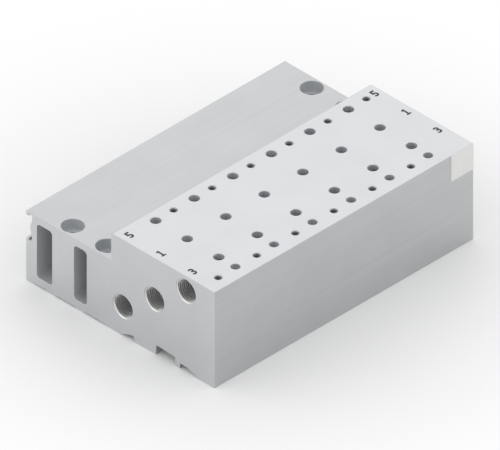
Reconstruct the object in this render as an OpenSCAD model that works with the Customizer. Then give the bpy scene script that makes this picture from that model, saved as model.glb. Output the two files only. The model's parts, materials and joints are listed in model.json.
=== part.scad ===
// Manifold plate for a row of five-port valves: one block cut from an aluminium extrusion.
// +X runs along the block, the raised valve seat is on the -Y side and the low shelf on the +Y side.
// The origin is at the middle of the foot. The section is drawn with u measured across the block
// from the valve side face, and v measured up from the foot.

/* [Stations] */
// Number of valve stations along the block
station_count = 6; // [2:1:12]
// Distance from one valve station to the next
station_pitch = 19; // [18.5:0.5:26]
// Distance from the centre of an outer station to the end face
end_margin = 16.3; // [15:0.1:30]

/* [Block section] */
// Width of the block across its foot
block_w = 93; // [91:0.5:120]
// Height of the valve seat above the foot
seat_h = 41; // [37:0.5:60]
// Width of the raised valve seat
seat_w = 51.1; // [50:0.1:52]
// Radius of the rounded edge between the valve seat and the step
seat_edge_r = 1.5; // [0.5:0.1:3]
// Height of the low shelf above the foot
shelf_h = 29.75; // [26:0.25:34]
// Radius of the other outer edges of the section
outer_edge_r = 0.4; // [0.1:0.1:1]

/* [Hollow chambers] */
// Width of the chamber next to the label groove
outer_chamber_w = 7.4; // [4:0.1:7.6]
// Width of the chamber next to the step
inner_chamber_w = 6.2; // [4:0.1:6.8]
// Width of the web between the two chambers
web_w = 10.9; // [9.6:0.1:12]
// Wall left under the chambers
chamber_floor = 3.8; // [2:0.1:6]
// Wall left over the chambers
chamber_roof = 3.25; // [2:0.1:6]
// Radius in the corners of the chambers
chamber_corner_r = 1.5; // [0.5:0.1:1.9]

/* [Label groove] */
// Height of the groove's mouth in the rear face
groove_mouth_h = 9.5; // [7:0.1:12]
// Depth of the groove behind the rear face
groove_d = 2.9; // [2.2:0.1:3.4]
// Thickness of the lip between the shelf and the groove's mouth
groove_lip = 1.85; // [1.4:0.05:4]
// Length of the two hooked lips across the block
hook_len = 1.4; // [0.8:0.1:1.6]
// Height that each hooked lip hides behind it
hook_h = 0.75; // [0.3:0.05:1.1]
// Radius on the tips of the hooked lips
hook_tip_r = 0.3; // [0.1:0.05:0.35]
// How far the curved back of the groove stands out to press on a label strip
bulge_d = 0.85; // [0.3:0.05:1]
// Radius of the crown of the curved back
bulge_crown_r = 5.5; // [4:0.5:7]
// Radius of the hollows at both sides of the crown
bulge_foot_r = 3.4; // [2:0.1:4]

/* [Rail seat] */
// Distance from the valve side face to the front flange recess
rail_inset = 8.2; // [4:0.1:9]
// Width of the front flange recess
rail_front_w = 8.9; // [7:0.1:10]
// Width of the tongue that stands between the flanges of a 35 mm rail
rail_tongue_w = 22.55; // [20:0.05:23]
// Width of the rear flange recess
rail_rear_w = 7.05; // [6:0.05:8]
// Height of both flange recesses
rail_recess_h = 2.05; // [1.5:0.05:3]
// Length of the ramps at the outer sides of the flange recesses
rail_ramp = 5.35; // [3:0.05:5.5]
// Width of the rib in front of the clamp slot
clamp_rib_w = 2.1; // [1.5:0.1:4]
// Width of the clamp slot in the tongue
clamp_slot_w = 9.85; // [6:0.05:12]
// Height of the clamp slot
clamp_slot_h = 4.1; // [2.5:0.1:5]
// Slope of the clamp slot's ceiling from its front to its rear
clamp_slot_fall = 0.55; // [0:0.05:1]
// Draft of the walls of the rail seat
rail_draft = 0.4; // [0:0.05:0.5]

/* [Foot reliefs] */
// Distance from the valve side face to the first relief
relief_inset = 52.9; // [50:0.1:54]
// Width of the two wide reliefs
relief_wide = 12.25; // [9:0.05:13]
// Width of the narrow relief
relief_narrow = 7.9; // [6:0.1:8.5]
// Width of the lands between the reliefs
relief_land = 1.75; // [1:0.05:2.5]
// Height of the reliefs
relief_h = 0.5; // [0.2:0.1:1.5]
// Length of the ramps at both sides of a relief
relief_ramp = 2.4; // [0.5:0.1:2.9]

/* [Valve ports] */
// Diameter of the valve ports in the seat
port_d = 4; // [2.5:0.1:6]
// Distance from the valve side face to the row of port 3
port_row_inset = 14.2; // [12.6:0.1:15]
// Distance from one row of valve ports to the next
port_row_pitch = 15.55; // [11:0.05:15.8]
// Diameter of the galleries along the block
gallery_d = 8.5; // [5:0.1:8.5]
// Depth of the port 3 gallery's axis under the seat
gallery_3_depth = 6.6; // [6.2:0.1:9]
// Depth of the port 1 gallery's axis under the seat
gallery_1_depth = 17.8; // [12:0.1:20]
// Depth of the port 5 gallery's axis under the seat
gallery_5_depth = 28.7; // [20:0.1:29]

/* [End ports] */
// Thread diameter of the end ports, G1/8
end_thread_d = 9.728; // [8.8:0.001:10.2]
// Depth of the end ports' thread
end_thread_depth = 9; // [6:0.5:12]
// Diameter of the end ports' chamfered mouth
end_mouth_d = 10; // [10:0.1:10.8]

/* [Valve screws] */
// Thread diameter of the valve screws, M3
screw_thread_d = 3; // [2.6:0.1:3.5]
// Depth of the valve screws' thread
screw_thread_depth = 6; // [3:0.5:7]
// Diameter of the valve screws' tap drill
screw_drill_d = 2.5; // [1.6:0.1:2.5]
// Depth of the valve screws' tap drill
screw_drill_depth = 8; // [7:0.5:10]
// Diameter of the valve screws' chamfered mouth
screw_mouth_d = 3.2; // [3.2:0.1:4]
// Distance of both valve screws from their station's centre, along the block
screw_offset = 8.9; // [7:0.1:9]
// Distance from the valve side face to the front row of valve screws
screw_front_inset = 5.55; // [3:0.05:6]
// Distance from the step to the rear row of valve screws
screw_rear_inset = 5.75; // [3:0.05:8]

/* [Locating holes] */
// Diameter of the blind locating holes
locating_d = 3.5; // [2:0.1:4.5]
// Depth of the blind locating holes
locating_depth = 5; // [2:0.5:8]
// Distance from the valve side face to the locating holes
locating_inset = 6; // [3:0.1:6.5]

/* [Mounting holes] */
// Diameter of the mounting holes, for M4 screws
mount_d = 4.5; // [3.4:0.1:5.5]
// Diameter of the mounting holes' counterbores
mount_head_d = 8.5; // [6.5:0.1:9]
// Depth of the mounting holes' counterbores
mount_head_depth = 4.3; // [2:0.1:6]
// Distance from the end faces to the mounting holes
mount_end_inset = 4.9; // [4.6:0.1:8]
// Distance from the rear face to the outer mounting holes
mount_side_inset = 18.25; // [18.25:0.05:20]
// Distance between the two mounting holes at one end
mount_row_pitch = 17; // [16.5:0.1:17.5]

/* [Hole rims] */
// Chamfer on the rims of the valve ports, locating holes and counterbores
rim_chamfer = 0.15; // [0:0.05:0.3]

/* [Blank label] */
// Side of the blank square label
label_side = 11; // [6:0.5:14]
// Thickness of the blank label
label_t = 0.12; // [0.05:0.01:0.3]

/* [Hidden] */
$fn = 96;
over = 1;                 // how far a cutter runs past the face that it opens
drill_tip = 59;           // half of the point angle of a twist drill
length = (station_count - 1) * station_pitch + 2 * end_margin;
stations = [for (k = [0 : station_count - 1]) (k - (station_count - 1) / 2) * station_pitch];
port_rows = [for (k = [0 : 2]) port_row_inset + k * port_row_pitch];
gallery_depths = [gallery_3_depth, gallery_1_depth, gallery_5_depth];
mount_u = block_w - mount_side_inset;
chamber_h = shelf_h - chamber_floor - chamber_roof;
groove_u = block_w - groove_d;
groove_top = shelf_h - groove_lip;
groove_mid = groove_top - groove_mouth_h / 2;

// Places children at u across the block and at a height over the foot
module at(x, u, z) {
    translate([x, u - block_w / 2, z]) children();
}

// Runs a flat section along the whole block
module along_block() {
    at(-length / 2, 0, 0) rotate([90, 0, 90]) linear_extrude(length) children();
}

// What a radius takes from an outer corner whose material lies towards +u and +v,
// or adds to an inner corner that opens the same way
module corner(r, turn = 0) {
    rotate(turn) difference() {
        translate([-over, -over]) square(r + over);
        translate([r, r]) circle(r);
    }
}

// Rectangle with its low corner at the origin and four equal radii
module rounded_box(w, h, r) {
    translate([r, 0]) square([w - 2 * r, h]);
    translate([0, r]) square([w, h - 2 * r]);
    for (u = [r, w - r], v = [r, h - r]) translate([u, v]) circle(r);
}

// Outline of the extrusion before its recesses: the high seat and the low shelf
module outline() {
    difference() {
        union() {
            square([seat_w, seat_h]);
            square([block_w, shelf_h]);
        }
        translate([seat_w, seat_h]) corner(seat_edge_r, 180);
        translate([block_w, shelf_h]) corner(outer_edge_r, 180);
        translate([block_w, 0]) corner(outer_edge_r, 90);
        corner(outer_edge_r);
    }
}

// Recess in the foot with a ramp or draft at each side
module foot_recess(start, w, front_h, rear_h, front_run, rear_run) {
    polygon([
        [start, -over], [start, 0],
        [start + front_run, front_h],
        [start + w - rear_run, rear_h],
        [start + w, 0], [start + w, -over]
    ]);
}

// Seat for a 35 mm rail: two flange recesses, and the clamp slot in the tongue between them
module rail_seat() {
    tongue = rail_inset + rail_front_w;
    foot_recess(rail_inset, rail_front_w, rail_recess_h, rail_recess_h, rail_ramp, 0);
    foot_recess(tongue + clamp_rib_w, clamp_slot_w,
        clamp_slot_h - clamp_slot_fall, clamp_slot_h, rail_draft, rail_draft);
    foot_recess(tongue + rail_tongue_w, rail_rear_w, rail_recess_h, rail_recess_h,
        rail_draft, rail_ramp);
}

// Shallow reliefs that leave narrow lands for the block to stand on
module foot_reliefs() {
    second = relief_inset + relief_wide + relief_land;
    third = second + relief_wide + relief_land;
    for (r = [[relief_inset, relief_wide], [second, relief_wide], [third, relief_narrow]])
        foot_recess(r[0], r[1], relief_h, relief_h, relief_ramp, relief_ramp);
}

// Curved back of the label groove: a crown between two hollows, all three tangent
module groove_bulge() {
    centres = bulge_crown_r + bulge_foot_r;
    rise = sqrt(bulge_d * (2 * centres - bulge_d));
    meet = bulge_crown_r / centres;
    crown_u = bulge_d - bulge_crown_r;
    meet_u = crown_u + (centres - bulge_d) * meet;
    difference() {
        polygon([
            [-over, -rise], [0, -rise], [meet_u, -rise * meet],
            [meet_u, rise * meet], [0, rise], [-over, rise]
        ]);
        for (side = [-1, 1]) translate([bulge_foot_r, side * rise]) circle(bulge_foot_r);
    }
    intersection() {
        translate([crown_u, 0]) circle(bulge_crown_r);
        translate([-over, -rise * meet]) square([over + bulge_d, 2 * rise * meet]);
    }
}

// Groove for a slide-in label strip, held by a hooked lip above and below
module label_groove() {
    difference() {
        union() {
            translate([groove_u, groove_mid - groove_mouth_h / 2])
                square([groove_d + over, groove_mouth_h]);
            translate([groove_u, groove_mid - groove_mouth_h / 2 - hook_h])
                square([groove_d - hook_len, groove_mouth_h + 2 * hook_h]);
            for (side = [-1, 1]) translate([block_w, groove_mid + side * groove_mouth_h / 2])
                corner(hook_tip_r, side > 0 ? 90 : 180);
        }
        translate([groove_u, groove_mid]) groove_bulge();
    }
}

// The two chambers that the extrusion leaves hollow, at both sides of the mounting screws' web
module chambers() {
    translate([mount_u + web_w / 2, chamber_floor])
        rounded_box(outer_chamber_w, chamber_h, chamber_corner_r);
    translate([mount_u - web_w / 2 - inner_chamber_w, chamber_floor])
        rounded_box(inner_chamber_w, chamber_h, chamber_corner_r);
}

// Section of the extrusion
module section() {
    difference() {
        outline();
        rail_seat();
        foot_reliefs();
        label_groove();
        chambers();
    }
}

// Blind hole that goes down from its mouth at the origin, turned from the section of its tools:
// the countersink, the tap or cutter, and the drill with its pointed tip
module blind_hole(d, depth, mouth_d, drill_d, drill_depth) {
    sink = (mouth_d - d) / 2;
    tip = drill_d / 2 / tan(drill_tip);
    rotate_extrude() polygon([
        [0, over],
        [mouth_d / 2 + (sink > 0 ? over : 0), over],
        if (sink > 0) [d / 2, -sink],
        [d / 2, -depth],
        if (drill_d < d) [drill_d / 2, -depth],
        if (drill_d < d) [drill_d / 2, -drill_depth],
        [0, -drill_depth - tip]
    ]);
}

// Flat-bottomed bore that goes down from its chamfered mouth at the origin
module chamfered_bore(d, depth, chamfer) {
    rotate_extrude() polygon([
        [0, over], [d / 2 + chamfer + over, over], [d / 2, -chamfer],
        [d / 2, -depth], [0, -depth]
    ]);
}

// Galleries for ports 3, 1 and 5, tapped at both ends of the block
module galleries() {
    for (k = [0 : 2]) {
        z = seat_h - gallery_depths[k];
        at(-length / 2 - over, port_rows[k], z) rotate([0, 90, 0])
            cylinder(d = gallery_d, h = length + 2 * over);
        for (side = [0, 1]) mirror([side, 0, 0]) at(-length / 2, port_rows[k], z)
            rotate([0, -90, 0]) end_port();
    }
}

// Tapped mouth of a gallery
module end_port() {
    chamfered_bore(end_thread_d, end_thread_depth, (end_mouth_d - end_thread_d) / 2);
}

// Everything that one valve meets in the seat: three ports, a locating hole and two screw holes
module station() {
    for (k = [0 : 2]) at(0, port_rows[k], seat_h)
        chamfered_bore(port_d, gallery_depths[k], rim_chamfer);
    at(0, locating_inset, seat_h) blind_hole(locating_d, locating_depth,
        locating_d + 2 * rim_chamfer, locating_d, locating_depth);
    at(-screw_offset, screw_front_inset, seat_h) screw_hole();
    at(screw_offset, seat_w - screw_rear_inset, seat_h) screw_hole();
}

// Blind tapped hole for a valve screw
module screw_hole() {
    blind_hole(screw_thread_d, screw_thread_depth, screw_mouth_d, screw_drill_d,
        screw_drill_depth);
}

// Counterbored through holes that fasten the block to a panel
module mounting_holes() {
    for (side = [-1, 1], row = [0, 1])
        at(side * (length / 2 - mount_end_inset), mount_u - row * mount_row_pitch, 0) {
            translate([0, 0, -over]) cylinder(d = mount_d, h = shelf_h + 2 * over);
            translate([0, 0, shelf_h])
                chamfered_bore(mount_head_d, mount_head_depth, rim_chamfer);
        }
}

module manifold_block() {
    color([0.78, 0.79, 0.80]) difference() {
        along_block() section();
        galleries();
        for (x = stations) translate([x, 0, 0]) station();
        mounting_holes();
    }
}

// Bare adhesive square at the far top corner of the valve side face
module blank_label() {
    color([0.93, 0.93, 0.91]) at(length / 2 - label_side, -label_t, seat_h - label_side)
        cube([label_side, label_t, label_side]);
}

manifold_block();
blank_label();
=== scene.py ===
"""Looks of a valve manifold plate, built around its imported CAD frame.

The block is one length of natural anodised aluminium extrusion. Its seat and its end faces are
milled, its holes are drilled and tapped, and its port numbers are cut and filled with ink.
+X runs along the block, the valve side face looks to -Y and the label groove to +Y.
Heights are measured from the foot, and insets from the nearest edge of the seat.
"""

import json
import math

import bmesh
import bpy
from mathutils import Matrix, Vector

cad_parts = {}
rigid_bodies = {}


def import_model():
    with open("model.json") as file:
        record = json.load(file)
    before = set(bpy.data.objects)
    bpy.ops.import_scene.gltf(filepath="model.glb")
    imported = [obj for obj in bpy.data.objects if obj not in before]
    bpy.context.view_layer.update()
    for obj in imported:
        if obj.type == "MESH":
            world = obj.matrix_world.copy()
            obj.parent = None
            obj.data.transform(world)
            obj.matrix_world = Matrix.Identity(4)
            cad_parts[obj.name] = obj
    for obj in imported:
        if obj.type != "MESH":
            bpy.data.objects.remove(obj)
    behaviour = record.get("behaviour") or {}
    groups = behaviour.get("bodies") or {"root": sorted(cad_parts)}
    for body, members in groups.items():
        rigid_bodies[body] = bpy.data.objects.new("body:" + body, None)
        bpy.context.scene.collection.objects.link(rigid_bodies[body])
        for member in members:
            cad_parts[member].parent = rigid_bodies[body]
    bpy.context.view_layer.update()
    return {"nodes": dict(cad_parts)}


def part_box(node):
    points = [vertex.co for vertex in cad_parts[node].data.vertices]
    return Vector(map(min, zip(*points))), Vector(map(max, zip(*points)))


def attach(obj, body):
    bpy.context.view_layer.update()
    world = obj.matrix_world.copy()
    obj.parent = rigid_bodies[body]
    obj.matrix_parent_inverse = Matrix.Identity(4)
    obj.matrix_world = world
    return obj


MM = 0.001

# Camera, for the drawing's isometric view
VIEW_TARGET = Vector((-5.24, -5.42, 20)) * MM
VIEW_BACK = Vector((-1, -1, 1)).normalized()
VIEW_DISTANCE = 600 * MM
VIEW_WIDTH = 174.3 * MM
VIEW_CLIP = 10 * MM

# Valve stations
STATION_COUNT = 6
STATION_PITCH = 19 * MM
SEAT_WIDTH = 51.1 * MM

# End ports, G1/8: their rows, and how deep the gallery of each port lies under the seat
PORT_ROW_INSET = 14.2 * MM
PORT_ROW_PITCH = 15.55 * MM
GALLERY_DEPTHS = {"3": 6.6 * MM, "1": 17.8 * MM, "5": 28.7 * MM}

# Threads: the radii of wall, crest and chamfered mouth, and the steps in which a turn is made
PIPE_THREAD = {
    "wall": 4.864 * MM,
    "crest": 4.4 * MM,
    "mouth": 5 * MM,
    "pitch": 0.907 * MM,
    "depth": 9 * MM,
    "flank": math.radians(27.5),
    "steps": 64,
}
SCREW_THREAD = {
    "wall": 1.5 * MM,
    "crest": 1.255 * MM,
    "mouth": 1.6 * MM,
    "pitch": 0.5 * MM,
    "depth": 6 * MM,
    "flank": math.radians(30),
    "steps": 40,
}

# How a thread's ridge sits in its wall, and how it starts under the mouth
THREAD_BED = 0.03 * MM
THREAD_SINK = 0.01 * MM
THREAD_ENTRY = 0.02 * MM
THREAD_START = 3 * THREAD_ENTRY
THREAD_MERGE = 0.001 * MM

# The widest that half a ridge's foot may be, as a share of the pitch
FOOT_SHARE = 0.47

# Valve screws, M3: how far they stand from the middle of their station, and their rows
SCREW_OFFSET = 8.9 * MM
SCREW_FRONT_INSET = 5.55 * MM
SCREW_REAR_INSET = 5.75 * MM

# Port numbers, cut into the seat, each with its distance from the valve side face
NUMBER_ROWS = {"3": 14.4 * MM, "1": 29.95 * MM, "5": 45.55 * MM}
NUMBER_NEAR_INSET = 3.45 * MM
NUMBER_FAR_INSET = 3.3 * MM
NUMBER_HEIGHT = 3.8 * MM
NUMBER_CUT = 0.16 * MM
NUMBER_INK = 0.09 * MM
NUMBER_SINK = 0.01 * MM

# Shape of a numeral, as shares of its height
NUMBER_STROKE = 0.22
NUMBER_WIDTH = 0.64
ARC_STEP = math.radians(9)

# Mounting holes in the low shelf, with their rows measured from the block's middle
MOUNT_FROM_MIDDLE = 58.9 * MM
MOUNT_ROWS_MIDDLE = 19.75 * MM
MOUNT_ROW_PITCH = 17 * MM
COUNTERBORE_FLOOR = 25.45 * MM
COUNTERBORE_REACH = 4.5 * MM
SHELF_HEIGHT = 29.75 * MM

# What counts as a machined flat: how squarely it faces, and how near its plane it is
FLAT_FACE = 0.9
FACE_REACH = 0.3 * MM
JUST_UNDER = 0.01 * MM

# Space that only holes reach, under the seat: what it keeps from the seat's edges and from the foot
SEAT_EDGE = 1.6 * MM
FOOT_FORMS = 5 * MM

# Space that only the two hollow chambers reach: what it keeps from the step, rear, foot and shelf
CHAMBERS_FROM_STEP = 11 * MM
CHAMBERS_FROM_REAR = 5 * MM
CHAMBERS_FROM_FOOT = 3 * MM
CHAMBERS_FROM_SHELF = 2.5 * MM

# CAD mesh: the gap over which corners are joined, and the bend that still counts as flat
CORNER_GAP = 0.0001 * MM
FLAT_ANGLE = math.radians(0.3)

# The bend from which an edge is shaded as a sharp one
SHARP_EDGE = math.radians(12)

# Deburred edges: their size, and what counts as a square edge along the block or round its ends
DEBURR = 0.2 * MM
DEBURR_STEPS = 3
SQUARE_EDGE = math.radians(50)
LONG_EDGE = 3 * MM
ALONG_BLOCK = 0.99
END_PLANE = 0.001 * MM

# Marks of the die, of the face mill on the seat and the ends, and of the counterboring tool
DIE_LINE_WIDTH = 0.6 * MM
DIE_LINE_LENGTH = 120 * MM
CUTTER_RADIUS = 31.5 * MM
CUTTER_ON_SEAT_Y = -18 * MM
CUTTER_ON_END_Z = 20 * MM
SEAT_MARKS = 0.8 * MM
END_MARKS = 0.9 * MM
RING_MARKS = 0.3 * MM

# Share of tool marks and of fine grain in the metal's relief, where die lines count fully
TOOL_RELIEF = 0.3
GRAIN_RELIEF = 0.35

# Fine grain of each finish, with its lowest and highest roughness; aluminium adds them to its own
GRAINS = {
    "aluminium": {"Grain Size": 0.35 * MM, "Low": -0.03, "High": 0.03},
    "thread": {"Grain Size": 0.15 * MM, "Low": 0.28, "High": 0.4},
    "film": {"Grain Size": 0.5 * MM, "Low": 0.42, "High": 0.56},
    "ink": {"Grain Size": 0.2 * MM, "Low": 0.45, "High": 0.65},
}

# Wide soft clouds in a finish's tone
CLOUDS = {
    "aluminium": {"Grain Size": 22 * MM, "Low": -0.02, "High": 0.02},
    "film": {"Grain Size": 5 * MM, "Low": 0.0, "High": 1.0},
}

# How deep the relief of each finish is
RELIEF = {
    "aluminium": 0.012 * MM,
    "thread": 0.004 * MM,
    "film": 0.01 * MM,
    "ink": 0.02 * MM,
}

# Tone of the anodised metal, from 0 at its darkest colour to 1 at its lightest
SKIN_LEVEL = 0.3
MILLED_LEVEL = 0.78
# The inner walls' tone, lighter than the milled flats, is painted light in the holes and chambers
INNER_PAINTED_LIGHT_LEVEL = 1.0

# How much marks count in the tone, and how far marks and clouds together move it
MARK_TONE = 0.12
TONE_SPREAD = 4.5

# How far the grain of a cut thread is stretched to give its tone
THREAD_CONTRAST = 1.2

# Roughness of the extruded skin, of milled flats, and of the walls of holes and chambers
SKIN_ROUGH = 0.46
MILLED_ROUGH = 0.4
INNER_ROUGH = 0.72

# How metallic the anodised surface looks, and the clear layer on it
METAL_SHARE = 0.9
CLEAR_LAYER = 0.12
CLEAR_ROUGH = 0.35

# Colours, as linear values, and how much darker or lighter each one gets
ANODISED = (0.57, 0.582, 0.596, 1)
ANODISED_DARKEST = 0.84
ANODISED_LIGHTEST = 1.12
PIPE_THREAD_METAL = (0.78, 0.78, 0.77, 1)
# The screw threads' darker grey is painted shade of their narrow holes, not another metal
SCREW_THREAD_PAINTED_SHADE = (0.42, 0.42, 0.42, 1)
THREAD_DARKEST = 0.75
LABEL_WHITE = (0.77, 0.77, 0.755, 1)
LABEL_DARKEST = 0.96
MARKING_BLACK = (0.022, 0.022, 0.024, 1)
MARKING_LIGHTEST = 2.2
FLOOR_PALE = (0.93, 0.93, 0.93, 1)
WHITE = (1, 1, 1, 1)

# Lamps: the direction that each stands in, and its brightness, where 1 is the white background
LAMP_SIZE = 1.5
LAMP_DISTANCE = 1.6
LAMPS = {
    "key_lamp": ((-0.62, 0.5, 0.7), 0.5),
    "fill_lamp": ((0.65, -0.6, 0.65), 0.3),
    "back_lamp": ((0.7, 0.6, 0.55), 0.3),
}
SKY_BRIGHTNESS = 0.85

# Floor: its reach and finish, and the distances from the middle between which it turns white
FLOOR_REACH = 3
FLOOR_CELLS = 4
FLOOR_ROUGH = 0.9
FLOOR_SHINE = 0.1
WHITE_FROM = 70 * MM
WHITE_TO = 170 * MM


def start_empty():
    """Takes away whatever Blender starts with."""
    for thing in list(bpy.data.objects):
        bpy.data.objects.remove(thing)


def place_object(name, data):
    """Puts an object with its mesh, lamp or camera into the scene."""
    thing = bpy.data.objects.new(name, data)
    bpy.context.scene.collection.objects.link(thing)
    return thing


# Node trees


def add_node(tree, kind, inputs=None, **settings):
    """Adds a node, sets its settings, and links or fills its inputs."""
    node = tree.nodes.new(kind)
    for name, value in settings.items():
        setattr(node, name, value)
    for key, value in (inputs or {}).items():
        if isinstance(value, bpy.types.NodeSocket):
            tree.links.new(value, node.inputs[key])
        else:
            node.inputs[key].default_value = value
    return node


def calc(tree, operation, *values):
    """A Math node's result. The values are sockets or plain numbers."""
    inputs = dict(enumerate(values))
    return add_node(tree, "ShaderNodeMath", inputs, operation=operation).outputs[0]


def axes(tree, vector):
    """The X, Y and Z of a vector."""
    return add_node(tree, "ShaderNodeSeparateXYZ", {0: vector}).outputs


def length(tree, vector):
    """The length of a vector."""
    return add_node(tree, "ShaderNodeVectorMath", {0: vector}, operation="LENGTH").outputs["Value"]


def blend_values(tree, factor, low, high):
    """A value that goes from low to high with the factor."""
    inputs = {"Factor": factor, "A": low, "B": high}
    return add_node(tree, "ShaderNodeMix", inputs, data_type="FLOAT").outputs[0]


def blend_colours(tree, factor, first, second):
    """A colour that goes from the first to the second with the factor."""
    inputs = {0: factor, 6: first, 7: second}
    return add_node(tree, "ShaderNodeMix", inputs, data_type="RGBA").outputs[2]


def about_half(tree, value, share):
    """A value between 0 and 1, squeezed or stretched about its middle."""
    return calc(tree, "MULTIPLY_ADD", value, share, (1 - share) / 2)


def wave(tree, turns):
    """A wave that goes between 0 and 1 once in every turn."""
    sine = calc(tree, "SINE", calc(tree, "MULTIPLY", turns, math.tau))
    return calc(tree, "MULTIPLY_ADD", sine, 0.5, 0.5)


def over(tree, value, threshold):
    """1 where the value is over the threshold, and 0 elsewhere."""
    return calc(tree, "GREATER_THAN", value, threshold)


def over_all(tree, *limits):
    """1 where every distance is over its limit."""
    inside = 1.0
    for distance, limit in limits:
        inside = calc(tree, "MULTIPLY", inside, over(tree, distance, limit))
    return inside


def shader_group(name, inputs, outputs):
    """An empty shader node group with named sockets, and its input and output sockets."""
    tree = bpy.data.node_groups.new(name, "ShaderNodeTree")
    for label, (kind, value) in inputs.items():
        socket = tree.interface.new_socket(label, in_out="INPUT", socket_type=kind)
        if value is not None:
            socket.default_value = value
    for label, kind in outputs.items():
        tree.interface.new_socket(label, in_out="OUTPUT", socket_type=kind)
    given = tree.nodes.new("NodeGroupInput").outputs
    made = tree.nodes.new("NodeGroupOutput").inputs
    return tree, given, made


def place_group(tree, group, inputs):
    """The outputs of a group placed in a material."""
    return add_node(tree, "ShaderNodeGroup", inputs, node_tree=group).outputs


def make_grain_group():
    """Fine uneven grain of an etched, printed or painted surface."""
    tree, given, made = shader_group(
        "fine_grain",
        {
            "Position": ("NodeSocketVector", None),
            "Grain Size": ("NodeSocketFloat", 0.5 * MM),
            "Low": ("NodeSocketFloat", 0.0),
            "High": ("NodeSocketFloat", 1.0),
        },
        {"Value": "NodeSocketFloat", "Height": "NodeSocketFloat"},
    )
    scale = calc(tree, "DIVIDE", 1.0, given["Grain Size"])
    noise = add_node(
        tree,
        "ShaderNodeTexNoise",
        {"Vector": given["Position"], "Scale": scale, "Detail": 4.0, "Roughness": 0.6},
    ).outputs["Fac"]
    spread = add_node(
        tree,
        "ShaderNodeMapRange",
        {
            "Value": noise,
            "From Min": 0.3,
            "From Max": 0.7,
            "To Min": given["Low"],
            "To Max": given["High"],
        },
    ).outputs["Result"]
    tree.links.new(spread, made["Value"])
    tree.links.new(noise, made["Height"])
    return tree


def make_die_group():
    """Lines that the die draws along an extrusion, which runs along X."""
    tree, given, made = shader_group(
        "die_lines",
        {
            "Position": ("NodeSocketVector", None),
            "Line Width": ("NodeSocketFloat", DIE_LINE_WIDTH),
            "Line Length": ("NodeSocketFloat", DIE_LINE_LENGTH),
        },
        {"Height": "NodeSocketFloat"},
    )
    place = axes(tree, given["Position"])
    stretched = add_node(
        tree,
        "ShaderNodeCombineXYZ",
        {
            "X": calc(tree, "DIVIDE", place["X"], given["Line Length"]),
            "Y": calc(tree, "DIVIDE", place["Y"], given["Line Width"]),
            "Z": calc(tree, "DIVIDE", place["Z"], given["Line Width"]),
        },
    ).outputs[0]
    noise = add_node(
        tree,
        "ShaderNodeTexNoise",
        {"Vector": stretched, "Scale": 1.0, "Detail": 3.0, "Roughness": 0.55},
    ).outputs["Fac"]
    tree.links.new(noise, made["Height"])
    return tree


def make_cutter_group():
    """Arcs that a face mill leaves as it travels along the feed."""
    tree, given, made = shader_group(
        "cutter_arcs",
        {
            "Feed": ("NodeSocketFloat", 0.0),
            "Side": ("NodeSocketFloat", 0.0),
            "Cutter Radius": ("NodeSocketFloat", CUTTER_RADIUS),
            "Spacing": ("NodeSocketFloat", SEAT_MARKS),
        },
        {"Height": "NodeSocketFloat"},
    )
    radius_squared = calc(tree, "MULTIPLY", given["Cutter Radius"], given["Cutter Radius"])
    side_squared = calc(tree, "MULTIPLY", given["Side"], given["Side"])
    reach_squared = calc(tree, "SUBTRACT", radius_squared, side_squared)
    reach = calc(tree, "SQRT", calc(tree, "MAXIMUM", reach_squared, 0.0))
    travel = calc(tree, "SUBTRACT", given["Feed"], reach)
    turns = calc(tree, "DIVIDE", travel, given["Spacing"])
    tree.links.new(wave(tree, turns), made["Height"])
    return tree


def make_ring_group():
    """Rings that a turning tool leaves round its own middle."""
    tree, given, made = shader_group(
        "turned_rings",
        {
            "Along": ("NodeSocketFloat", 0.0),
            "Across": ("NodeSocketFloat", 0.0),
            "Spacing": ("NodeSocketFloat", RING_MARKS),
        },
        {"Height": "NodeSocketFloat", "Radius": "NodeSocketFloat"},
    )
    from_middle = add_node(
        tree, "ShaderNodeCombineXYZ", {"X": given["Along"], "Y": given["Across"]}
    ).outputs[0]
    radius = length(tree, from_middle)
    turns = calc(tree, "DIVIDE", radius, given["Spacing"])
    tree.links.new(wave(tree, turns), made["Height"])
    tree.links.new(radius, made["Radius"])
    return tree


# Materials


def scaled(colour, share):
    """A colour made darker or lighter."""
    return [min(c * share, 1) for c in colour[:3]] + [1]


def new_material(name):
    """A material with a Principled BSDF, and the socket that gives object coordinates."""
    material = bpy.data.materials.new(name)
    material.use_nodes = True
    tree = material.node_tree
    tree.nodes.clear()
    shader = add_node(tree, "ShaderNodeBsdfPrincipled")
    add_node(tree, "ShaderNodeOutputMaterial", {"Surface": shader.outputs[0]})
    position = add_node(tree, "ShaderNodeTexCoord").outputs["Object"]
    return material, tree, shader, position


def place_grain(tree, groups, position, grain):
    """The outputs of the grain group with one finish's own values."""
    return place_group(tree, groups["grain"], {"Position": position, **grain})


def set_surface(tree, shader, colour, rough, height, depth):
    """Gives the shader a colour, a roughness and a relief of a real depth."""
    tree.links.new(colour, shader.inputs["Base Color"])
    tree.links.new(rough, shader.inputs["Roughness"])
    bump = add_node(tree, "ShaderNodeBump", {"Height": height, "Strength": 1.0, "Distance": depth})
    tree.links.new(bump.outputs[0], shader.inputs["Normal"])


def milled_faces(tree, place, high):
    """1 on the seat, on the block's two ends, and on the counterbore floors, each by itself."""
    normal = add_node(tree, "ShaderNodeNewGeometry").outputs["True Normal"]
    facing = axes(tree, normal)
    lengthwise = over(tree, calc(tree, "ABSOLUTE", facing["X"]), FLAT_FACE)
    outermost = over(tree, calc(tree, "ABSOLUTE", place["X"]), high.x - FACE_REACH)
    upward = over(tree, facing["Z"], FLAT_FACE)
    topmost = over(tree, place["Z"], high.z - FACE_REACH)
    at_depth = calc(tree, "COMPARE", place["Z"], COUNTERBORE_FLOOR, FACE_REACH)
    on_seat = calc(tree, "MULTIPLY", upward, topmost)
    on_end = calc(tree, "MULTIPLY", lengthwise, outermost)
    on_counterbore = calc(tree, "MULTIPLY", upward, at_depth)
    return on_seat, on_end, on_counterbore


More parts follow.
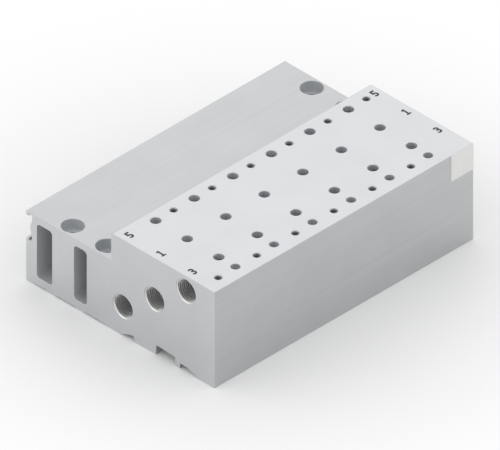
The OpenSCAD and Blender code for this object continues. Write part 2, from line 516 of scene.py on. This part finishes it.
def inner_walls(tree, place, from_mount, low, high):
    """1 on the walls of the holes, counterbores and hollow chambers."""
    from_side = calc(tree, "SUBTRACT", place["Y"], low.y)
    to_step = calc(tree, "SUBTRACT", low.y + SEAT_WIDTH, place["Y"])
    to_rear = calc(tree, "SUBTRACT", high.y, place["Y"])
    to_end = calc(tree, "SUBTRACT", high.x, calc(tree, "ABSOLUTE", place["X"]))
    to_seat = calc(tree, "SUBTRACT", high.z, place["Z"])
    to_shelf = calc(tree, "SUBTRACT", SHELF_HEIGHT, place["Z"])
    holes = over_all(
        tree,
        (from_side, SEAT_EDGE),
        (to_step, FACE_REACH),
        (calc(tree, "ADD", to_step, to_seat), SEAT_EDGE),
        (to_end, FACE_REACH),
        (place["Z"], FOOT_FORMS),
        (to_seat, JUST_UNDER),
    )
    counterbores = over_all(
        tree,
        (calc(tree, "SUBTRACT", COUNTERBORE_REACH, from_mount), 0),
        (place["Z"], FOOT_FORMS),
        (to_shelf, JUST_UNDER),
    )
    chambers = over_all(
        tree,
        (calc(tree, "MULTIPLY", to_step, -1), CHAMBERS_FROM_STEP),
        (to_rear, CHAMBERS_FROM_REAR),
        (to_end, FACE_REACH),
        (place["Z"], CHAMBERS_FROM_FOOT),
        (to_shelf, CHAMBERS_FROM_SHELF),
    )
    return calc(tree, "MAXIMUM", calc(tree, "MAXIMUM", holes, counterbores), chambers)


def mount_rings(tree, place, rings):
    """Rings that the counterboring tool leaves round the four mounting holes."""
    along = calc(tree, "SUBTRACT", calc(tree, "ABSOLUTE", place["X"]), MOUNT_FROM_MIDDLE)
    from_row = calc(tree, "ABSOLUTE", calc(tree, "SUBTRACT", place["Y"], MOUNT_ROWS_MIDDLE))
    across = calc(tree, "SUBTRACT", from_row, MOUNT_ROW_PITCH / 2)
    return place_group(tree, rings, {"Along": along, "Across": across})


def mill_arcs(tree, place, arcs, on_end):
    """Arcs that the face mill leaves on the seat and on the block's two ends."""
    seat_side = calc(tree, "SUBTRACT", place["Y"], CUTTER_ON_SEAT_Y)
    on_seat = {"Feed": place["X"], "Side": seat_side, "Spacing": SEAT_MARKS}
    end_side = calc(tree, "SUBTRACT", place["Z"], CUTTER_ON_END_Z)
    on_ends = {"Feed": place["Y"], "Side": end_side, "Spacing": END_MARKS}
    seat_arcs = place_group(tree, arcs, on_seat)["Height"]
    end_arcs = place_group(tree, arcs, on_ends)["Height"]
    return blend_values(tree, on_end, seat_arcs, end_arcs)


def by_surface(tree, milled, inner, on_skin, on_milled, on_inner):
    """A value of its own for the extruded skin, for milled flats and for inner walls."""
    return blend_values(tree, inner, blend_values(tree, milled, on_skin, on_milled), on_inner)


def make_anodised(groups, low, high):
    """Natural anodised aluminium, as extruded skin, milled flats and duller inner walls, whose
    lighter colour is painted light.
    """
    material, tree, shader, position = new_material("anodised_aluminium")
    place = axes(tree, position)
    on_seat, on_end, on_counterbore = milled_faces(tree, place, high)
    milled = calc(tree, "MAXIMUM", calc(tree, "MAXIMUM", on_seat, on_end), on_counterbore)
    rings = mount_rings(tree, place, groups["rings"])
    inner = inner_walls(tree, place, rings["Radius"], low, high)

    arcs = mill_arcs(tree, place, groups["arcs"], on_end)
    cut = blend_values(tree, on_counterbore, arcs, rings["Height"])
    lines = place_group(tree, groups["die"], {"Position": position})["Height"]
    marks = blend_values(tree, milled, lines, about_half(tree, cut, TOOL_RELIEF))

    grain = place_grain(tree, groups, position, GRAINS["aluminium"])
    clouds = place_grain(tree, groups, position, CLOUDS["aluminium"])["Value"]
    mark_tone = calc(tree, "MULTIPLY_ADD", marks, MARK_TONE, -MARK_TONE / 2)
    tone = calc(tree, "ADD", clouds, mark_tone)
    # Inner walls get the lightest tone: painted light in the holes and chambers
    level = by_surface(tree, milled, inner, SKIN_LEVEL, MILLED_LEVEL, INNER_PAINTED_LIGHT_LEVEL)
    factor = calc(tree, "MULTIPLY_ADD", tone, TONE_SPREAD, level)
    darkest = scaled(ANODISED, ANODISED_DARKEST)
    lightest = scaled(ANODISED, ANODISED_LIGHTEST)
    colour = blend_colours(tree, factor, darkest, lightest)

    evenly_rough = by_surface(tree, milled, inner, SKIN_ROUGH, MILLED_ROUGH, INNER_ROUGH)
    rough = calc(tree, "ADD", evenly_rough, grain["Value"])
    height = calc(tree, "MULTIPLY_ADD", grain["Height"], GRAIN_RELIEF, marks)
    set_surface(tree, shader, colour, rough, height, RELIEF["aluminium"])
    shader.inputs["Metallic"].default_value = METAL_SHARE
    shader.inputs["Coat Weight"].default_value = CLEAR_LAYER
    shader.inputs["Coat Roughness"].default_value = CLEAR_ROUGH
    return material


def make_thread_metal_and_shade(groups, name, metal):
    """Tapped thread, with the metal as the tap left it; the screw threads' darker colour is painted
    shade.
    """
    material, tree, shader, position = new_material(name)
    grain = place_grain(tree, groups, position, GRAINS["thread"])
    factor = about_half(tree, grain["Height"], THREAD_CONTRAST)
    colour = blend_colours(tree, factor, scaled(metal, THREAD_DARKEST), metal)
    set_surface(tree, shader, colour, grain["Value"], grain["Height"], RELIEF["thread"])
    shader.inputs["Metallic"].default_value = 1.0
    return material


def make_label_film(groups):
    """White film of the bare label."""
    material, tree, shader, position = new_material("label_film")
    grain = place_grain(tree, groups, position, GRAINS["film"])
    clouds = place_grain(tree, groups, position, CLOUDS["film"])["Value"]
    colour = blend_colours(tree, clouds, scaled(LABEL_WHITE, LABEL_DARKEST), LABEL_WHITE)
    set_surface(tree, shader, colour, grain["Value"], grain["Height"], RELIEF["film"])
    return material


def make_marking_ink(groups):
    """Black ink in the port numbers."""
    material, tree, shader, position = new_material("marking_ink")
    grain = place_grain(tree, groups, position, GRAINS["ink"])
    lightest = scaled(MARKING_BLACK, MARKING_LIGHTEST)
    colour = blend_colours(tree, grain["Height"], MARKING_BLACK, lightest)
    set_surface(tree, shader, colour, grain["Value"], grain["Height"], RELIEF["ink"])
    return material


# Modifiers of the block and the label


def geometry_group(name):
    """An empty geometry node group that takes and gives a mesh."""
    tree = bpy.data.node_groups.new(name, "GeometryNodeTree")
    tree.interface.new_socket("Mesh", in_out="INPUT", socket_type="NodeSocketGeometry")
    tree.interface.new_socket("Mesh", in_out="OUTPUT", socket_type="NodeSocketGeometry")
    mesh_in = tree.nodes.new("NodeGroupInput").outputs[0]
    mesh_out = tree.nodes.new("NodeGroupOutput").inputs[0]
    return tree, mesh_in, mesh_out


def mark_deburred_edges(half_length):
    """Weights the edges that are deburred: those along the block and those round its ends."""
    tree, mesh_in, mesh_out = geometry_group("deburred_edges")
    angle = add_node(tree, "GeometryNodeInputMeshEdgeAngle").outputs["Signed Angle"]
    square = over(tree, angle, SQUARE_EDGE)
    ends = add_node(tree, "GeometryNodeInputMeshEdgeVertices").outputs
    run = add_node(
        tree,
        "ShaderNodeVectorMath",
        {0: ends["Position 1"], 1: ends["Position 2"]},
        operation="SUBTRACT",
    ).outputs[0]
    unit = add_node(tree, "ShaderNodeVectorMath", {0: run}, operation="NORMALIZE").outputs[0]
    lengthwise = over(tree, calc(tree, "ABSOLUTE", axes(tree, unit)["X"]), ALONG_BLOCK)
    along = calc(tree, "MULTIPLY", lengthwise, over(tree, length(tree, run), LONG_EDGE))
    middle = axes(tree, add_node(tree, "GeometryNodeInputPosition").outputs[0])["X"]
    at_end = over(tree, calc(tree, "ABSOLUTE", middle), half_length - END_PLANE)
    chosen = calc(tree, "MULTIPLY", square, calc(tree, "MAXIMUM", along, at_end))
    stored = add_node(
        tree,
        "GeometryNodeStoreNamedAttribute",
        {"Geometry": mesh_in, "Name": "bevel_weight_edge", "Value": chosen},
        data_type="FLOAT",
        domain="EDGE",
    ).outputs[0]
    tree.links.new(stored, mesh_out)
    return tree


def smooth_round_walls():
    """Shades round walls smooth and keeps real edges sharp."""
    tree, mesh_in, mesh_out = geometry_group("smooth_round_walls")
    angle = add_node(tree, "GeometryNodeInputMeshEdgeAngle").outputs["Unsigned Angle"]
    sharp = add_node(
        tree,
        "FunctionNodeCompare",
        {0: angle, 1: SHARP_EDGE},
        data_type="FLOAT",
        operation="GREATER_THAN",
    ).outputs[0]
    shaded = add_node(
        tree,
        "GeometryNodeSetMeshNormal",
        {"Mesh": mesh_in, "Remove Custom": True, "Edge Sharpness": sharp, "Face Sharpness": False},
        mode="SHARPNESS",
    ).outputs[0]
    tree.links.new(shaded, mesh_out)
    return tree


def add_modifier(thing, name, kind, **settings):
    """Adds a modifier and sets its settings."""
    modifier = thing.modifiers.new(name, kind)
    for setting, value in settings.items():
        setattr(modifier, setting, value)


def weld_corners(cad_object):
    """Joins the corners that the CAD mesh holds once for each face."""
    add_modifier(cad_object, "weld_corners", "WELD", merge_threshold=CORNER_GAP)


def finish_block(block_object, half_length, cutter, smoothing):
    """Deburrs the block's edges, cuts its port numbers and smooths its round walls."""
    weld_corners(block_object)
    add_modifier(
        block_object,
        "merge_flats",
        "DECIMATE",
        decimate_type="DISSOLVE",
        angle_limit=FLAT_ANGLE,
    )
    edges = mark_deburred_edges(half_length)
    add_modifier(block_object, "mark_edges", "NODES", node_group=edges)
    add_modifier(
        block_object,
        "deburr",
        "BEVEL",
        limit_method="WEIGHT",
        width=DEBURR,
        segments=DEBURR_STEPS,
        use_clamp_overlap=False,
        loop_slide=False,
    )
    add_modifier(
        block_object,
        "cut_numbers",
        "BOOLEAN",
        operation="DIFFERENCE",
        solver="EXACT",
        object=cutter,
    )
    add_modifier(block_object, "smooth_round_walls", "NODES", node_group=smoothing)


def finish_label(label_object, smoothing):
    """Closes the label's mesh and keeps its edges sharp."""
    weld_corners(label_object)
    add_modifier(label_object, "smooth_round_walls", "NODES", node_group=smoothing)


# Pieces


def join_rings(bm, ring, following):
    """Makes the faces between two rings of corners."""
    count = len(ring)
    for k in range(count):
        after = (k + 1) % count
        bm.faces.new((ring[k], ring[after], following[after], following[k]))


def finished_mesh(bm, name):
    """A named mesh of what was built, and the end of its building."""
    mesh = bpy.data.meshes.new(name)
    bm.to_mesh(mesh)
    bm.free()
    return mesh


def add_piece(name, mesh, material):
    """Puts a mesh into the scene as a piece of the block."""
    piece = place_object(name, mesh)
    mesh.materials.append(material)
    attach(piece, "root")


def thread_section(thread):
    """The ridge's four corners, each as a distance along the hole and one from its axis."""
    middle_half = thread["pitch"] / 4
    middle = (thread["wall"] + thread["crest"]) / 2
    slope = math.tan(thread["flank"])
    crest_half = middle_half - (middle - thread["crest"]) * slope
    foot = thread["wall"] + THREAD_BED
    foot_half = min(middle_half + (foot - middle) * slope, thread["pitch"] * FOOT_SHARE)
    return [
        (-foot_half, foot),
        (-crest_half, thread["crest"]),
        (crest_half, thread["crest"]),
        (foot_half, foot),
    ]


def thread_ridge(name, thread, mouth, inward, side):
    """Right-hand helical ridge in a tapped hole.

    It comes out of the metal under the chamfered mouth and runs into the hole's shoulder.
    """
    across = inward.cross(side)
    section = thread_section(thread)
    foot_half = section[-1][0]
    start = THREAD_START - foot_half
    end = thread["depth"] + thread["pitch"] / 4
    count = int((end - start) / thread["pitch"] * thread["steps"])
    bm = bmesh.new()
    rings = []
    for step in range(count + 1):
        turn = step / thread["steps"]
        angle = turn * math.tau
        spoke = side * math.cos(angle) + across * math.sin(angle)
        ring = []
        for along, radius in section:
            depth = max(start + turn * thread["pitch"] + along, THREAD_ENTRY)
            under_wall = max(radius - thread["wall"], 0)
            cone = thread["mouth"] - depth + THREAD_SINK + under_wall
            ring.append(bm.verts.new(mouth + inward * depth + spoke * max(radius, cone)))
        rings.append(ring)
    for ring, following in zip(rings, rings[1:]):
        join_rings(bm, ring, following)
    bm.faces.new(rings[0])
    bm.faces.new(reversed(rings[-1]))
    bmesh.ops.dissolve_degenerate(bm, dist=THREAD_MERGE, edges=bm.edges)
    bmesh.ops.recalc_face_normals(bm, faces=bm.faces)
    return finished_mesh(bm, name)


def make_end_threads(low, high, metal):
    """Ridges in the end ports, three at each end."""
    ends = {"near": (low.x, 1), "far": (high.x, -1)}
    for row, (port, depth) in enumerate(GALLERY_DEPTHS.items()):
        y = low.y + PORT_ROW_INSET + row * PORT_ROW_PITCH
        for end, (x, inward) in ends.items():
            name = f"end_port_thread_{port}_{end}"
            mouth = Vector((x, y, high.z - depth))
            mesh = thread_ridge(name, PIPE_THREAD, mouth, Vector((inward, 0, 0)), Vector((0, 1, 0)))
            add_piece(name, mesh, metal)


def make_screw_threads(low, high, metal):
    """Ridges in the valve screw holes, two at each station."""
    rows = {
        "front": (-SCREW_OFFSET, low.y + SCREW_FRONT_INSET),
        "rear": (SCREW_OFFSET, low.y + SEAT_WIDTH - SCREW_REAR_INSET),
    }
    for k in range(STATION_COUNT):
        station = (k - (STATION_COUNT - 1) / 2) * STATION_PITCH
        for row, (offset, y) in rows.items():
            name = f"screw_thread_{row}_{k + 1}"
            mouth = Vector((station + offset, y, high.z))
            mesh = thread_ridge(name, SCREW_THREAD, mouth, Vector((0, 0, -1)), Vector((1, 0, 0)))
            add_piece(name, mesh, metal)


def arc(centre, radius, start, end):
    """Points of an arc, with its angles in degrees; it runs clockwise where the end is lower."""
    first = math.radians(start)
    sweep = math.radians(end) - first
    count = max(2, round(abs(sweep) / ARC_STEP))
    angles = [first + sweep * k / count for k in range(count + 1)]
    return [(centre[0] + radius * math.cos(a), centre[1] + radius * math.sin(a)) for a in angles]


def outline_of_one():
    """The numeral 1 with a flag and a foot, one unit high."""
    left = 0.06
    right = NUMBER_WIDTH - 0.04
    foot = 0.18
    stem_left = NUMBER_WIDTH / 2 - NUMBER_STROKE / 2
    stem_right = stem_left + NUMBER_STROKE
    stem_bottom = foot + 0.01
    flag_start = stem_left + 0.04
    flag_top = 0.86
    flag_bottom = 0.69
    flag_root = 0.79
    return [
        (left, 0), (right, 0), (right, foot), (stem_right, stem_bottom), (stem_right, 1),
        (flag_start, 1), (left, flag_top), (left, flag_bottom), (stem_left, flag_root),
        (stem_left, stem_bottom), (left, foot),
    ]


def outline_of_three():
    """The numeral 3 from two round bowls that share a bar, one unit high."""
    bowl_end = 158
    bar = 0.13
    lower_extra = 0.01
    inner_sum = (1 - 3 * NUMBER_STROKE) / 2
    upper_inner = inner_sum / 2 - lower_extra
    lower_inner = inner_sum / 2 + lower_extra
    upper_outer = upper_inner + NUMBER_STROKE
    lower_outer = lower_inner + NUMBER_STROKE
    upper = (NUMBER_WIDTH - lower_outer, 1 - upper_outer)
    lower = (NUMBER_WIDTH - lower_outer, lower_outer)
    gap = upper[1] - lower[1]
    drop = (gap**2 + upper_outer**2 - lower_outer**2) / (2 * gap)
    upper_notch = -math.degrees(math.asin(drop / upper_outer))
    lower_notch = math.degrees(math.asin((gap - drop) / lower_outer))
    bar_end = upper[0] - bar
    return (
        arc(upper, upper_outer, bowl_end, upper_notch)
        + arc(lower, lower_outer, lower_notch, -bowl_end)[1:]
        + arc(lower, lower_inner, -bowl_end, 90)
        + [(bar_end, lower[1] + lower_inner), (bar_end, upper[1] - upper_inner)]
        + arc(upper, upper_inner, -90, bowl_end)
    )


def outline_of_five():
    """The numeral 5 with a flat top and a round belly, one unit high."""
    belly = 0.315
    belly_end = -155
    throat = 128
    left = 0.08
    top_right = NUMBER_WIDTH - 0.05
    heel = (left - 0.02, 0.45)
    centre = (NUMBER_WIDTH - belly, belly)
    stem_right = left + NUMBER_STROKE
    meet = math.degrees(math.acos((stem_right - centre[0]) / belly))
    return (
        [(left, 1), (top_right, 1), (top_right, 1 - NUMBER_STROKE)]
        + [(stem_right, 1 - NUMBER_STROKE)]
        + arc(centre, belly, meet, belly_end)
        + arc(centre, belly - NUMBER_STROKE, belly_end, throat)
        + [heel]
    )


OUTLINES = {"1": outline_of_one, "3": outline_of_three, "5": outline_of_five}


def number_mesh(name, numeral, centre, bottom, top):
    """Prism of a numeral that reads along +X, centred at a place on the seat."""
    bm = bmesh.new()
    rims = []
    for z in (bottom, top):
        rim = []
        for u, v in OUTLINES[numeral]():
            x = centre[0] + (u - NUMBER_WIDTH / 2) * NUMBER_HEIGHT
            y = centre[1] + (v - 0.5) * NUMBER_HEIGHT
            rim.append(bm.verts.new((x, y, z)))
        rims.append(rim)
    join_rings(bm, *rims)
    caps = [bm.faces.new(rim) for rim in rims]
    bm.normal_update()
    bmesh.ops.triangulate(bm, faces=caps)
    bmesh.ops.recalc_face_normals(bm, faces=bm.faces)
    return finished_mesh(bm, name)


def number_places(low, high):
    """Every port number with its place on the seat."""
    ends = {"near": low.x + NUMBER_NEAR_INSET, "far": high.x - NUMBER_FAR_INSET}
    return [
        (f"{numeral}_{end}", numeral, (x, low.y + inset))
        for end, x in ends.items()
        for numeral, inset in NUMBER_ROWS.items()
    ]


def make_number_cutter(low, high):
    """One hidden tool that cuts all the port numbers."""
    whole = bmesh.new()
    bottom = high.z - NUMBER_CUT
    top = high.z + NUMBER_CUT
    for name, numeral, centre in number_places(low, high):
        mesh = number_mesh("cut_" + name, numeral, centre, bottom, top)
        whole.from_mesh(mesh)
        bpy.data.meshes.remove(mesh)
    cutter = place_object("number_cutter", finished_mesh(whole, "number_cutter"))
    cutter.hide_render = True
    cutter.hide_viewport = True
    return cutter


def make_numbers(low, high, ink):
    """Ink that fills the port numbers."""
    floor = high.z - NUMBER_CUT
    bottom = floor - NUMBER_SINK
    top = floor + NUMBER_INK
    for place_name, numeral, centre in number_places(low, high):
        name = "port_number_" + place_name
        mesh = number_mesh(name, numeral, centre, bottom, top)
        add_piece(name, mesh, ink)


# Surroundings


def seen_directly(tree):
    """1 where a ray from the camera, a reflection or glass meets this surface."""
    path = add_node(tree, "ShaderNodeLightPath").outputs
    glossy = calc(tree, "MAXIMUM", path["Is Camera Ray"], path["Is Glossy Ray"])
    return calc(tree, "MAXIMUM", glossy, path["Is Transmission Ray"])


def make_floor_paint():
    """Pale paint that keeps the block's shadow and turns white away from it."""
    material, tree, shader, position = new_material("pale_floor")
    shader.inputs["Base Color"].default_value = FLOOR_PALE
    shader.inputs["Roughness"].default_value = FLOOR_ROUGH
    shader.inputs["Specular IOR Level"].default_value = FLOOR_SHINE
    away = add_node(
        tree,
        "ShaderNodeMapRange",
        {"Value": length(tree, position), "From Min": WHITE_FROM, "From Max": WHITE_TO},
        interpolation_type="SMOOTHSTEP",
    ).outputs["Result"]
    white = add_node(tree, "ShaderNodeEmission", {"Color": WHITE, "Strength": 1.0})
    share = calc(tree, "MULTIPLY", away, seen_directly(tree))
    inputs = {0: share, 1: shader.outputs[0], 2: white.outputs[0]}
    mixed = add_node(tree, "ShaderNodeMixShader", inputs)
    output = next(node for node in tree.nodes if node.type == "OUTPUT_MATERIAL")
    tree.links.new(mixed.outputs[0], output.inputs["Surface"])
    return material


def make_floor(below):
    """Large flat floor that the block stands on."""
    bm = bmesh.new()
    bmesh.ops.create_grid(bm, x_segments=FLOOR_CELLS, y_segments=FLOOR_CELLS, size=FLOOR_REACH)
    mesh = finished_mesh(bm, "floor")
    mesh.materials.append(make_floor_paint())
    floor = place_object("floor", mesh)
    floor.location.z = below


def make_world():
    """Soft light from the whole sky, and white where it is seen."""
    world = bpy.data.worlds.new("studio")
    world.use_nodes = True
    bpy.context.scene.world = world
    tree = world.node_tree
    tree.nodes.clear()
    light = add_node(tree, "ShaderNodeBackground", {"Color": WHITE, "Strength": SKY_BRIGHTNESS})
    white = add_node(tree, "ShaderNodeBackground", {"Color": WHITE, "Strength": 1.0})
    inputs = {0: seen_directly(tree), 1: light.outputs[0], 2: white.outputs[0]}
    mixed = add_node(tree, "ShaderNodeMixShader", inputs)
    add_node(tree, "ShaderNodeOutputWorld", {"Surface": mixed.outputs[0]})


def make_lamps():
    """Large soft lamps round the block, each as bright as a share of the white background."""
    for name, (direction, brightness) in LAMPS.items():
        data = bpy.data.lights.new(name, "AREA")
        data.size = LAMP_SIZE
        data.energy = brightness * math.pi * LAMP_SIZE**2
        lamp = place_object(name, data)
        towards = Vector(direction).normalized()
        lamp.location = towards * LAMP_DISTANCE
        lamp.rotation_euler = towards.to_track_quat("Z", "Y").to_euler()


def make_camera():
    """Isometric camera of the drawing."""
    data = bpy.data.cameras.new("camera")
    data.type = "ORTHO"
    data.ortho_scale = VIEW_WIDTH
    data.clip_start = VIEW_CLIP
    camera = place_object("camera", data)
    camera.location = VIEW_TARGET + VIEW_BACK * VIEW_DISTANCE
    camera.rotation_euler = VIEW_BACK.to_track_quat("Z", "Y").to_euler()
    bpy.context.scene.camera = camera


start_empty()
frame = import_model()
block = frame["nodes"]["manifold_block"]
label = frame["nodes"]["blank_label"]
low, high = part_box("manifold_block")

groups = {
    "grain": make_grain_group(),
    "die": make_die_group(),
    "arcs": make_cutter_group(),
    "rings": make_ring_group(),
}
block.material_slots[0].material = make_anodised(groups, low, high)
label.material_slots[0].material = make_label_film(groups)
ink = make_marking_ink(groups)
pipe_thread = make_thread_metal_and_shade(groups, "cut_pipe_thread", PIPE_THREAD_METAL)
# Painted shade: the screw threads get a darker grey than the pipe threads
screw_thread = make_thread_metal_and_shade(groups, "cut_screw_thread_painted_shade", SCREW_THREAD_PAINTED_SHADE)

smoothing = smooth_round_walls()
finish_block(block, high.x, make_number_cutter(low, high), smoothing)
finish_label(label, smoothing)
make_numbers(low, high, ink)
make_end_threads(low, high, pipe_thread)
make_screw_threads(low, high, screw_thread)

make_floor(low.z)
make_world()
make_lamps()
make_camera()
bpy.context.scene.view_settings.view_transform = "Standard"
